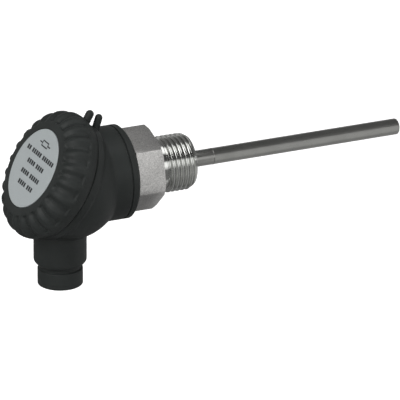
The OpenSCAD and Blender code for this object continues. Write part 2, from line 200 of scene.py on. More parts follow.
def draw_outline(name: str, points: list[Point], closed: bool) -> Piece:
    """Draws an outline in the local xz plane by extruding one vertex from point to point.

    Args:
        name: Name of the piece.
        points: The outline, as (radius, height) in millimetres.
        closed: Whether the last point joins the first.

    Returns:
        The object, left in edit mode with everything selected.
    """
    deselect_all()
    bpy.ops.mesh.primitive_plane_add(size=1)
    piece = bpy.context.object
    piece.name = name
    set_mode("EDIT")
    bpy.ops.mesh.merge(type="CENTER")
    bpy.ops.transform.translate(value=(points[0][0], 0, points[0][1]))
    for here, there in zip(points, points[1:]):
        step = (there[0] - here[0], 0, there[1] - here[1])
        bpy.ops.mesh.extrude_region_move(TRANSFORM_OT_translate={"value": step})
    if closed:
        sheet = bmesh.from_edit_mesh(piece.data)
        sheet.verts.ensure_lookup_table()
        sheet.verts[0].select = True
        sheet.verts[len(sheet.verts) - 1].select = True
        bmesh.update_edit_mesh(piece.data)
        bpy.ops.mesh.edge_face_add()
    bpy.ops.mesh.select_all(action="SELECT")
    return piece


def close_up(piece: Piece) -> Piece:
    """Merges doubled points and turns all faces outwards.

    Args:
        piece: A closed mesh.

    Returns:
        The same object, in object mode.
    """
    take(piece)
    set_mode("EDIT")
    bpy.ops.mesh.select_all(action="SELECT")
    bpy.ops.mesh.remove_doubles(threshold=1e-4)
    bpy.ops.mesh.normals_make_consistent(inside=False)
    set_mode("OBJECT")
    return piece


def turned(name: str, points: list[Point], closed: bool = True, steps: int = 96) -> Piece:
    """Spins an outline once round the local z axis.

    Args:
        name: Name of the piece.
        points: The outline, as (radius, height) in millimetres.
        closed: Whether the outline is a loop; an open one starts and ends on the axis.
        steps: Number of stretches round the axis.

    Returns:
        The turned piece.
    """
    piece = draw_outline(name, points, closed)
    bpy.ops.mesh.spin(steps=steps, angle=FULL_TURN, center=(0, 0, 0), axis=(0, 0, 1))
    return close_up(piece)


def modify(piece: Piece, kind: str, **settings: object) -> Piece:
    """Adds one modifier and applies it.

    Args:
        piece: The piece.
        kind: Blender's name for the modifier's type.
        **settings: The modifier's values.

    Returns:
        The same object.
    """
    take(piece)
    modifier = piece.modifiers.new(kind.title(), kind)
    for key, value in settings.items():
        setattr(modifier, key, value)
    bpy.ops.object.modifier_apply(modifier=modifier.name)
    return piece


def combine(piece: Piece, tool: Piece, how: str) -> Piece:
    """Cuts a piece with a tool or adds the tool to it, and clears the tool away.

    Args:
        piece: The piece that stays.
        tool: The other solid.
        how: UNION, DIFFERENCE or INTERSECT.

    Returns:
        The piece.
    """
    modify(piece, "BOOLEAN", operation=how, object=tool, solver="EXACT")
    bpy.data.objects.remove(tool)
    return piece


def move_local(piece: Piece, matrix: Matrix) -> Piece:
    """Turns and moves a piece on the bench, into its mesh.

    Args:
        piece: The piece.
        matrix: The move, in millimetres.

    Returns:
        The same object.
    """
    take(piece)
    piece.matrix_world = matrix @ piece.matrix_world
    apply_transform()
    return piece


def dress(piece: Piece, material: Material) -> None:
    """Gives a piece one material all over."""
    piece.data.materials.clear()
    piece.data.materials.append(material)


@dataclass(frozen=True)
class Seat:
    """Where a group of pieces goes: its placement and its body; the slot name that it also holds is not used.
    """

    place: Matrix
    body: Body
    slot: str

    def settle(
        self, piece: Piece, material: Material, node: str = "", smooth_deg: float = 35
    ) -> Piece:
        """Puts a finished piece in its place in the frame.

        Args:
            piece: The piece, in millimetres about its own axis.
            material: Its finish.
            node: The CAD node that it replaces, if any.
            smooth_deg: Edges flatter than this are shaded smooth.

        Returns:
            The same object, at the origin with its place in its mesh.
        """
        move_local(piece, self.place)
        bpy.ops.object.shade_smooth_by_angle(angle=math.radians(smooth_deg))
        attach(piece, self.body.value)
        dress(piece, material)
        if node:
            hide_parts(node)
        LOG.info("%s: %d faces on %s", piece.name, len(piece.data.polygons), self.body.value)
        return piece


@dataclass(frozen=True)
class ScrewThread:
    """A rounded screw thread, as a closed piece about local z.

    Attributes:
        crest: Radius over the crests.
        depth: Depth from crest to root.
        pitch: Rise in one turn.
        start: Height where the thread begins.
        end: Height where it ends.
        lead_in: Length over which the far end tapers to its root.
        lead_out: Length over which the near end tapers to its root.
        bore: Radius of the hole through the piece.
    """

    crest: float
    depth: float
    pitch: float
    start: float
    end: float
    lead_in: float
    lead_out: float
    bore: float
    points_per_turn: int = 12
    steps: int = 90
    flank_gain: float = 1.25

    def radius(self, share: float) -> float:
        """Radius of the thread's form at a share of the pitch, 0 and 1 at a root."""
        rise = 1 - 4 * abs(share - 0.5)
        held = max(-1.0, min(1.0, rise * self.flank_gain))
        return self.crest - self.depth / 2 * (1 - math.sin(held * HALF_TURN / 2))

    def taper(self, height: float) -> float:
        """Largest radius that the two tapered ends allow.

        Args:
            height: The height along the axis.

        Returns:
            The radius.
        """
        root = self.crest - self.depth
        far = root + self.depth * max(0.0, (self.end - height) / self.lead_in)
        near = root + self.depth * max(0.0, (height - self.start) / self.lead_out)
        return min(self.crest, far, near)

    def build(self, name: str) -> Piece:
        """Screws one pitch of the form up the axis and trims it.

        Args:
            name: Name of the piece.

        Returns:
            The closed thread.
        """
        count = self.points_per_turn
        form = [(self.radius(i / count), self.pitch * i / count) for i in range(count + 1)]
        piece = draw_outline(name, form, False)
        bpy.ops.transform.translate(value=(0, 0, self.start - 2 * self.pitch))
        set_mode("OBJECT")
        turns = math.ceil((self.end - self.start) / self.pitch) + 3
        modify(
            piece, "SCREW", axis="Z", angle=FULL_TURN, screw_offset=self.pitch, iterations=turns,
            steps=self.steps, render_steps=self.steps, use_smooth_shade=False,
        )
        close_up(piece)
        self.trim(self.start, True)
        self.trim(self.end, False)
        for vertex in piece.data.vertices:
            reach = math.hypot(vertex.co.x, vertex.co.y)
            limit = self.taper(vertex.co.z)
            if reach > limit:
                vertex.co.x *= limit / reach
                vertex.co.y *= limit / reach
        return close_up(piece)

    def trim(self, height: float, below: bool) -> None:
        """Cuts the active piece flat at a height and closes the cut.

        Args:
            height: Where to cut.
            below: Whether what lies below the cut is taken off.
        """
        set_mode("EDIT")
        bpy.ops.mesh.select_all(action="SELECT")
        bpy.ops.mesh.bisect(
            plane_co=(0, 0, height), plane_no=(0, 0, 1), use_fill=False,
            clear_inner=below, clear_outer=not below,
        )
        bpy.ops.mesh.extrude_region_move()
        inward = self.bore / self.crest
        bpy.ops.transform.resize(value=(inward, inward, 1), center_override=(0, 0, height))
        set_mode("OBJECT")


# ---------------------------------------------------------------- finishes


class Tree:
    """The node tree of a material or of the room, with short calls for nodes and links."""

    def __init__(self, owner: bpy.types.ID) -> None:
        """Turns the owner's nodes on."""
        owner.use_nodes = True
        self.nodes = owner.node_tree.nodes
        self.links = owner.node_tree.links

    def node(self, kind: str, **values: object) -> bpy.types.Node:
        """Adds a node and sets its properties and sockets.

        Args:
            kind: Blender's name for the node's type.
            **values: Properties, or sockets where the name has a capital.

        Returns:
            The node.
        """
        made = self.nodes.new(kind)
        for key, value in values.items():
            if key[0].isupper():
                made.inputs[key.replace("_", " ")].default_value = value
            else:
                setattr(made, key, value)
        return made

    def link(self, value: Socket, node: bpy.types.Node, socket: str | int) -> None:
        """Joins a value to a socket of a node."""
        self.links.new(value, node.inputs[socket])


class Wiring(Tree):
    """A material's node tree, with the nodes that the finishes share."""

    def __init__(self, name: str) -> None:
        """Starts a material with an output and a principled shader.

        Args:
            name: Name of the material.
        """
        self.material = bpy.data.materials.new(name)
        super().__init__(self.material)
        self.shader = self.nodes["Principled BSDF"]
        self.place = self.nodes.new("ShaderNodeTexCoord").outputs["Object"]

    def noise(self, scale: float, detail: float = 3.0, stretch: Colour = (1, 1, 1)) -> Socket:
        """Noise over the piece, stretched along its axes.

        Args:
            scale: Cells in a metre.
            detail: Octaves.
            stretch: Scale along x, y and z.

        Returns:
            The noise value.
        """
        mapping = self.node("ShaderNodeMapping", Scale=stretch)
        self.link(self.place, mapping, "Vector")
        texture = self.node("ShaderNodeTexNoise", Scale=scale, Detail=detail, Roughness=0.55)
        self.link(mapping.outputs["Vector"], texture, "Vector")
        return texture.outputs["Fac"]

    def ramp(self, value: Socket, low: float, high: float) -> Socket:
        """Maps a noise value from its middle range to a new range.

        Args:
            value: The noise value.
            low: Lowest result.
            high: Highest result.

        Returns:
            The mapped value.
        """
        span = {"From_Min": NOISE_SPAN[0], "From_Max": NOISE_SPAN[1]}
        mapped = self.node("ShaderNodeMapRange", To_Min=low, To_Max=high, **span)
        self.link(value, mapped, "Value")
        return mapped.outputs["Result"]

    def tint(self, value: Socket, dark: Colour, light: Colour) -> Socket:
        """Mixes two colours by a noise value.

        Args:
            value: The noise value.
            dark: Colour of low values.
            light: Colour of high values.

        Returns:
            The mixed colour.
        """
        ramp = self.node("ShaderNodeValToRGB")
        for element, place, colour in zip(ramp.color_ramp.elements, NOISE_SPAN, (dark, light)):
            element.position = place
            element.color = (*colour, 1)
        self.link(value, ramp, "Fac")
        return ramp.outputs["Color"]

    def mottled(self, value: Socket, colour: Colour, spread: float) -> Socket:
        """Varies a colour evenly to both sides by a noise value."""
        return self.tint(value, shade(colour, 1 - spread), shade(colour, 1 + spread))

    def bump(self, value: Socket, strength: float, height_mm: float) -> None:
        """Adds relief from a value to the shader's normal.

        Args:
            value: The height value.
            strength: Strength of the relief.
            height_mm: Its height in millimetres.
        """
        bump = self.node("ShaderNodeBump", Strength=strength, Distance=height_mm * MM)
        self.link(value, bump, "Height")
        normal = self.shader.inputs["Normal"]
        if normal.is_linked:
            self.link(normal.links[0].from_socket, bump, "Normal")
        self.feed("Normal", bump.outputs["Normal"])

    def feed(self, socket: str, value: Socket) -> None:
        """Joins a value to one of the shader's sockets."""
        self.link(value, self.shader, socket)

    def set(self, **values: object) -> None:
        """Sets the shader's own sockets."""
        for key, value in values.items():
            self.shader.inputs[key.replace("_", " ")].default_value = value


def shade(colour: Colour, factor: float) -> Colour:
    """A lighter or darker copy of a colour."""
    return tuple(min(1.0, c * factor) for c in colour)


def linear(red: int, green: int, blue: int) -> Colour:
    """Turns display values from 0 to 255 into linear ones."""
    share = [c / 255 for c in (red, green, blue)]
    return tuple(c / 12.92 if c <= 0.04045 else ((c + 0.055) / 1.055) ** 2.4 for c in share)


@dataclass(frozen=True)
class MouldedPlastic:
    """Satin plastic with the fine grain of a sparked mould."""

    colour: Colour
    roughness: float = 0.42
    grain_mm: float = 0.25
    relief_mm: float = 0.02
    mottle: float = 0.12
    gloss: float = 0.5

    def make(self, name: str) -> Material:
        """Builds the material.

        Args:
            name: Name of the material.

        Returns:
            The finished material.
        """
        wiring = Wiring(name)
        broad = wiring.noise(90, 2)
        fine = wiring.noise(1 / (self.grain_mm * MM), 2)
        wiring.feed("Base Color", wiring.mottled(broad, self.colour, self.mottle))
        wiring.feed("Roughness", wiring.ramp(fine, self.roughness - 0.05, self.roughness + 0.07))
        wiring.bump(fine, 0.5, self.relief_mm)
        wiring.bump(broad, 0.25, 0.05)
        wiring.set(Specular_IOR_Level=self.gloss)
        return wiring.material


@dataclass(frozen=True)
class MachinedMetal:
    """Metal with tool marks that run along or round one axis."""

    colour: Colour
    roughness: float = 0.25
    spread: float = 0.08
    marks: Colour = (1, 1, 1)
    mark_scale: float = 900
    relief_mm: float = 0.01
    blotch: float = 0.08
    blotch_scale: float = 160

    def make(self, name: str) -> Material:
        """Builds the material.

        Args:
            name: Name of the material.

        Returns:
            The finished material.
        """
        wiring = Wiring(name)
        marks = wiring.noise(self.mark_scale, 4, self.marks)
        cloud = wiring.noise(self.blotch_scale, 3)
        wiring.feed("Base Color", wiring.mottled(cloud, self.colour, self.blotch))
        low, high = self.roughness - self.spread, self.roughness + self.spread
        wiring.feed("Roughness", wiring.ramp(marks, low, high))
        wiring.bump(marks, 0.6, self.relief_mm)
        wiring.set(Metallic=1.0)
        return wiring.material


@dataclass(frozen=True)
class GrainedFinish:
    """A finish with one grain that steers colour, roughness and relief.

    Attributes:
        colour: Its colour.
        scale: Grains in a metre.
        shades: Darkest and lightest shade, as factors of the colour.
        rough: Lowest and highest roughness.
        strength: Strength of the relief.
        relief_mm: Height of the relief.
        detail: Octaves of the grain.
        extra: More sockets of the shader.
    """

    colour: Colour
    scale: float
    shades: Point
    rough: Point
    strength: float = 0.3
    relief_mm: float = 0.03
    detail: float = 3
    extra: tuple[tuple[str, float], ...] = ()

    def make(self, name: str) -> Material:
        """Builds the material.

        Args:
            name: Name of the material.

        Returns:
            The finished material.
        """
        wiring = Wiring(name)
        grain = wiring.noise(self.scale, self.detail)
        dark, light = (shade(self.colour, factor) for factor in self.shades)
        wiring.feed("Base Color", wiring.tint(grain, dark, light))
        wiring.feed("Roughness", wiring.ramp(grain, *self.rough))
        wiring.bump(grain, self.strength, self.relief_mm)
        wiring.set(**dict(self.extra))
        return wiring.material


def rubber() -> GrainedFinish:
    """Dull black rubber with a dusty bloom."""
    return GrainedFinish((0.012,) * 3, 700, (1, 2.2), (0.6, 0.8), strength=0.4, relief_mm=0.02, detail=4)


def ceramic(colour: Colour) -> GrainedFinish:
    """Dense ceramic with a faint speckle."""
    return GrainedFinish(colour, 2500, (0.86, 1), (0.28, 0.5), relief_mm=0.01, detail=2)


def coat(colour: Colour, roughness: float = 0.35) -> GrainedFinish:
    """Extruded insulation, resin or paste, smooth with slow waves."""
    return GrainedFinish(colour, 500, (0.85, 1), (roughness - 0.08, roughness + 0.1))


def foil(colour: Colour) -> GrainedFinish:
    """Silver label foil with a fine grain under a clear coat."""
    coated = (("Metallic", 0.25), ("Coat_Weight", 0.15), ("Coat_Roughness", 0.3))
    return GrainedFinish(colour, 2200, (0.93, 1.05), (0.42, 0.56), relief_mm=0.006, extra=coated)


@dataclass(frozen=True)
class WovenGlass:
    """Braided glass yarn round the leads."""

    colour: Colour = (0.76, 0.70, 0.54)

    def make(self, name: str) -> Material:
        """Builds the material.

        Args:
            name: Name of the material.

        Returns:
            The finished material.
        """
        wiring = Wiring(name)
        weave = wiring.node("ShaderNodeTexWave", Scale=900, Distortion=2.5, Detail=2.0)
        weave.bands_direction = "DIAGONAL"
        wiring.link(wiring.place, weave, "Vector")
        wiring.feed("Base Color", wiring.tint(weave.outputs["Fac"], shade(self.colour, 0.6), self.colour))
        wiring.bump(weave.outputs["Fac"], 0.7, 0.12)
        wiring.set(Roughness=0.8)
        return wiring.material


class Finishes:
    """Every finish of the probe, made once."""

    def __init__(self) -> None:
        """Builds the materials."""
        steel = linear(200, 201, 198)
        self.head = MouldedPlastic(linear(35, 38, 37), roughness=0.52, gloss=0.22).make("head_plastic")
        self.lid = MouldedPlastic(linear(37, 40, 39), roughness=0.5, gloss=0.2).make("lid_plastic")
        self.foil = foil(linear(168, 174, 175)).make("label_foil")
        self.ink = MouldedPlastic(linear(30, 32, 34), roughness=0.5, relief_mm=0.004).make("label_ink")
        milled = linear(191, 190, 188)
        hexagon = MachinedMetal(milled, 0.36, 0.06, (1, 1, 1), 2200, 0.02, 0.3, 2300)
        self.hexagon = hexagon.make("milled_steel")
        self.thread = MachinedMetal(steel, 0.12, 0.03, (6, 1, 1), 700, 0.002, 0.04).make("rolled_thread")
        tube = MachinedMetal(linear(147, 147, 144), 0.31, 0.05, (0.15, 5, 5), 800, 0.006, 0.06)
        self.tube = tube.make("drawn_tube")
        self.rubber = rubber().make("seal_rubber")
        self.washer = MachinedMetal(linear(200, 200, 196), 0.3).make("washer_steel")
        self.screw = MachinedMetal(linear(205, 203, 196), 0.24).make("nickel_screw")
        self.brass = MachinedMetal((0.72, 0.48, 0.16), 0.28).make("terminal_brass")
        self.tin = MachinedMetal(linear(200, 202, 205), 0.22).make("tinned_copper")
        self.ceramic = ceramic((0.78, 0.74, 0.64)).make("base_ceramic")
        self.chip = ceramic((0.85, 0.84, 0.80)).make("element_ceramic")
        self.paste = coat((0.78, 0.78, 0.74), 0.6).make("thermal_paste")
        self.resin = coat((0.03, 0.024, 0.018), 0.25).make("potting_resin")
        self.red = coat((0.55, 0.02, 0.012)).make("lead_red")
        self.white = coat((0.80, 0.80, 0.77)).make("lead_white")
        self.sleeve = WovenGlass().make("glass_sleeve")


# ---------------------------------------------------------------- the lid


def cap_ends(piece: Piece) -> Piece:
    """Closes the open ends of a swept ridge.

    Args:
        piece: The swept mesh.

    Returns:
        The closed piece.
    """
    close_up(piece)
    set_mode("EDIT")
    bpy.ops.mesh.select_all(action="DESELECT")
    bpy.ops.mesh.select_mode(type="EDGE")
    bpy.ops.mesh.select_non_manifold()
    bpy.ops.mesh.edge_face_add()
    bpy.ops.mesh.select_mode(type="VERT")
    set_mode("OBJECT")
    return close_up(piece)


def ridge_thread(
    name: str, radius: float, side: int, height: float, turns: float, steps: int
) -> Piece:
    """Sweeps the coarse ridge that the lid and the neck share.

    Args:
        name: Name of the piece.
        radius: Radius of the wall that it stands on.
        side: 1 for a ridge that stands outwards, -1 for inwards.
        height: Where it begins.
        turns: How many times it runs round.
        steps: Number of stretches of the whole sweep.

    Returns:
        The closed ridge.
    """
    foot, crest = radius - side * RIDGE_SUNK, radius + side * RIDGE_HEIGHT
    piece = draw_outline(name, [(foot, 0), (crest, 0.45), (crest, 0.75), (foot, 1.2)], True)
    bpy.ops.transform.translate(value=(0, 0, height))
    set_mode("OBJECT")
    modify(
        piece, "SCREW", axis="Z", angle=FULL_TURN * turns, screw_offset=LID_PITCH * turns,
        steps=steps, render_steps=steps, use_smooth_shade=False,
    )
    return cap_ends(piece)


@dataclass
class Lid:
    """The ribbed screw lid about its own axis, face up, with its nameplate.

    Heights count from the point where the lid axis crosses the bowl's centre.
    """

    finishes: Finishes
    radius: float = 24.25
    face: float = 13.8
    bottom: float = 1.7
    skirt_end: float = 4.7
    edge_radius: float = 22.6
    flank_radius: float = 7.3
    flank_height: float = 6.5
    bore: float = 21.35
    ceiling: float = 11.6
    rim_round: float = 0.45
    ribs: int = 24
    columns_per_rib: int = 20
    groove_depth: float = 0.85
    groove_wall: float = 0.28
    groove_share: float = 0.5
    groove_start_deg: float = 80.0
    groove_full_deg: float = 76.0
    groove_end: float = 6.1
    label_radius: float = 15.0
    label_gap: float = 0.15
    label_seat: float = 0.35
    label_thickness: float = 0.5
    lug_radius: float = 1.55
    lug_reach: float = 27.7
    lug_height: float = 3.3
    lug_sunk: float = 0.4
    thread_turns: float = 1.75

    @property
    def flank_centre(self) -> float:
        """Radius of the circle on which the flank's arc is centred."""
        return self.radius - self.flank_radius

    @property
    def face_radius(self) -> float:
        """Radius at which the flank meets the face."""
        rise = self.face - self.flank_height
        return self.flank_centre + math.sqrt(max(0.0, self.flank_radius**2 - rise**2))

    def outline(self) -> list[Point]:
        """The lid's section, from the label seat over the flank to the bore."""
        seat = self.label_radius + self.label_gap
        floor = self.face - self.label_seat
        rise, run = self.face - self.flank_height, self.face_radius - self.flank_centre
        face_angle = math.degrees(math.atan2(rise, run))
        rim_start = (self.face_radius - 2 * self.rim_round, self.face)
        points = [(0, floor), (seat - 0.1, floor), (seat, floor + 0.08)]
        points += [(seat, self.face - 0.1), (seat + 0.1, self.face)]
        points += rows(points[-1], rim_start, 5)
        points += [(self.face_radius - 0.7 * self.rim_round, self.face - 0.06)]
        centre = (self.flank_centre, self.flank_height)
        points += arc(centre, self.flank_radius, face_angle - 3.5, self.groove_start_deg, 1)
        points += arc(centre, self.flank_radius, self.groove_full_deg, 0, 14)
        points += [(self.radius - 0.03, self.groove_end), (self.radius - 0.15, self.skirt_end + 0.5)]
        points += [(self.radius - 0.5, self.skirt_end - 0.6), (self.radius - 1.0, self.skirt_end - 1.9)]
        points += [(self.edge_radius + 0.2, self.bottom + 0.15), (self.edge_radius, self.bottom)]
        points += [(self.bore + 0.2, self.bottom), (self.bore, self.bottom + 0.25)]
        points += [(self.bore, self.ceiling - 0.7), (self.bore - 0.7, self.ceiling), (0, self.ceiling)]
        return points

    def rib_weight(self, spot: Vector) -> float:
        """How deep the groove between two ribs is at a spot.

        Args:
            spot: A point of the lid.

        Returns:
            0 on a rib to 1 in a groove.
        """
        reach = math.hypot(spot.x, spot.y)
        if spot.z < self.bottom + 0.1 or reach < self.face_radius:
            return 0.0
        if spot.z < self.ceiling and reach < self.bore + 0.6:
            return 0.0
        turn = math.atan2(spot.y, spot.x) * self.ribs / FULL_TURN
        away = abs(turn - round(turn)) - self.groove_share / 2
        wave = max(0.0, min(1.0, 0.5 - away / self.groove_wall))
        tail = max(0.0, min(1.0, (spot.z - self.groove_end) / (self.flank_height - self.groove_end)))
        outer = self.flank_centre + self.flank_radius * math.cos(math.radians(self.groove_full_deg))
        inner = self.flank_centre + self.flank_radius * math.cos(math.radians(self.groove_start_deg))
        rim = max(0.0, min(1.0, (reach - inner) / (outer - inner)))
        return wave * tail * rim

    def shell(self) -> Piece:
        """Builds the lid's shell with its ribs and its seal lug.

        Returns:
            The shell, about the lid axis.
        """
        piece = turned("lid_shell", self.outline(), False, self.ribs * self.columns_per_rib)
        group = piece.vertex_groups.new(name="grooves")
        for vertex in piece.data.vertices:
            weight = self.rib_weight(vertex.co)
            if weight > 0:
                group.add([vertex.index], weight, "REPLACE")
        modify(
            piece, "DISPLACE", strength=-self.groove_depth, mid_level=0.0, vertex_group="grooves",
            direction="NORMAL",
        )
        return combine(piece, self.lug(), "UNION")

    def lug(self) -> Piece:
        """Builds the round-ended seal lug that stands out of the rear edge."""
        foot = self.bore + self.lug_sunk
        length = self.lug_reach - self.bore - self.lug_sunk
        tip = length - self.lug_radius
        points = [(0, 0), (self.lug_radius, 0), (self.lug_radius * 0.97, tip)]
        points += arc((0, tip), self.lug_radius * 0.97, 12, 90, 7)
        piece = turned("lid_lug", points, False, 32)
        lean = Matrix.Rotation(HALF_TURN / 2, 4, "Y")
        return move_local(piece, Matrix.Translation((foot, 0, self.lug_height)) @ lean)

    def inner_thread(self) -> Piece:
        """Builds the ridge inside the skirt that runs on the neck's thread."""
        return ridge_thread("lid_thread", self.bore, -1, self.bottom + 0.8, self.thread_turns, 140)

    def nameplate(self) -> Piece:
        """Builds the round nameplate with its softly stamped edge."""
        base = self.face - self.label_seat
        top = base + self.label_thickness
        points = [(0, base), (self.label_radius - 0.05, base), (self.label_radius, base + 0.06)]
        points += arc((self.label_radius - 0.12, top - 0.12), 0.12, 0, 90, 4)
        points += [(self.label_radius - 0.8, top), (0, top)]
        return turned("nameplate", points, False, 128)

    def build(self) -> None:
        """Makes the lid's pieces and seats them."""
        seat = Seat(ON_LID, Body.LID, "lid_plastic")
        seat.settle(self.shell(), self.finishes.lid, "lid", 55)
        seat.settle(self.inner_thread(), self.finishes.lid)
        Seat(ON_LID, Body.LID, "label_foil").settle(self.nameplate(), self.finishes.foil, "label_disc")
        NameplatePrint(self.finishes, self.face - self.label_seat + self.label_thickness).build()


@dataclass
class NameplatePrint:
    """Generic print on the nameplate: rows of plain blocks and a resistor symbol.

    The rows run across the plate, turned about the lid axis. Each row is given
    by its height and by how many blocks stand in each of its groups.
    """

    finishes: Finishes
    surface: float
    turn_deg: float = 90.0
    block_width: float = 1.2
    block_height: float = 1.7
    block_gap: float = 0.4
    group_gap: float = 1.5
    ink: float = 0.03
    rows_of_groups: tuple[tuple[float, tuple[int, ...]], ...] = (
        (6.9, (3, 4)),
        (3.0, (5, 4)),
        (-1.3, (4, 4)),
        (-5.3, (6, 5, 2)),
    )
    row_shift: float = -0.55
    symbol_row: float = -9.6

    def bar(self, centre_x: float, centre_y: float, width: float, height: float) -> Piece:
        """Lays one round-ended bar of ink on the plate.

        Args:
            centre_x: Place along the row.
            centre_y: Height of the row.
            width: Length of the bar.
            height: Height of the bar.

        Returns:
            The bar.
        """
        deselect_all()
        bpy.ops.mesh.primitive_cube_add(size=1, location=(centre_x, centre_y, self.surface + self.ink / 2))
        piece = bpy.context.object
        piece.scale = (width, height, self.ink)
        apply_transform()
        return modify(piece, "BEVEL", width=min(width, height) * 0.18, segments=2, limit_method="ANGLE")

    def group_span(self, count: int) -> float:
        """Length of a group of blocks."""
        return count * (self.block_width + self.block_gap) - self.block_gap

    def group(self, start: float, centre_y: float, count: int) -> Piece:
        """Lays a group of equal blocks in a row.

        Args:
            start: Place along the row at which the group starts.
            centre_y: Height of the row.
            count: Number of blocks.

        Returns:
            The group as one piece.
        """
        block = self.bar(start + self.block_width / 2, centre_y, self.block_width, self.block_height)
        step = (self.block_width + self.block_gap, 0, 0)
        return modify(
            block, "ARRAY", count=count, use_relative_offset=False, use_constant_offset=True,
            constant_offset_displace=step,
        )

    def resistor(self, centre_y: float) -> list[Piece]:
        """Draws a resistor symbol: an open box on a line.

        Args:
            centre_y: Height of the row.

        Returns:
            The bars of the symbol.
        """
        line, width, height, lead = 0.45, 4.4, 1.9, 2.2
        sides = [(0, side * height / 2, width, line) for side in (1, -1)]
        sides += [(end * width / 2, 0, line, height + line) for end in (-1, 1)]
        sides += [(end * (width + lead) / 2, 0, lead, line) for end in (-1, 1)]
        return [self.bar(x, centre_y + y, w, h) for x, y, w, h in sides]

    def build(self) -> None:
        """Lays all the ink and joins it to one piece."""
        bars = []
        for height, groups in self.rows_of_groups:
            spans = [self.group_span(count) for count in groups]
            place = self.row_shift - (sum(spans) + self.group_gap * (len(spans) - 1)) / 2
            for count, span in zip(groups, spans):
                bars.append(self.group(place, height, count))
                place += span + self.group_gap
        bars += self.resistor(self.symbol_row)
        deselect_all()
        for piece in bars:
            piece.select_set(True)
        bpy.context.view_layer.objects.active = bars[0]
        bpy.ops.object.join()
        piece = bpy.context.object
        piece.name = "nameplate_print"
        move_local(piece, Matrix.Rotation(math.radians(self.turn_deg), 4, "Z"))
        Seat(ON_LID, Body.LID, "head_plastic").settle(piece, self.finishes.ink)


# ---------------------------------------------------------------- the housing


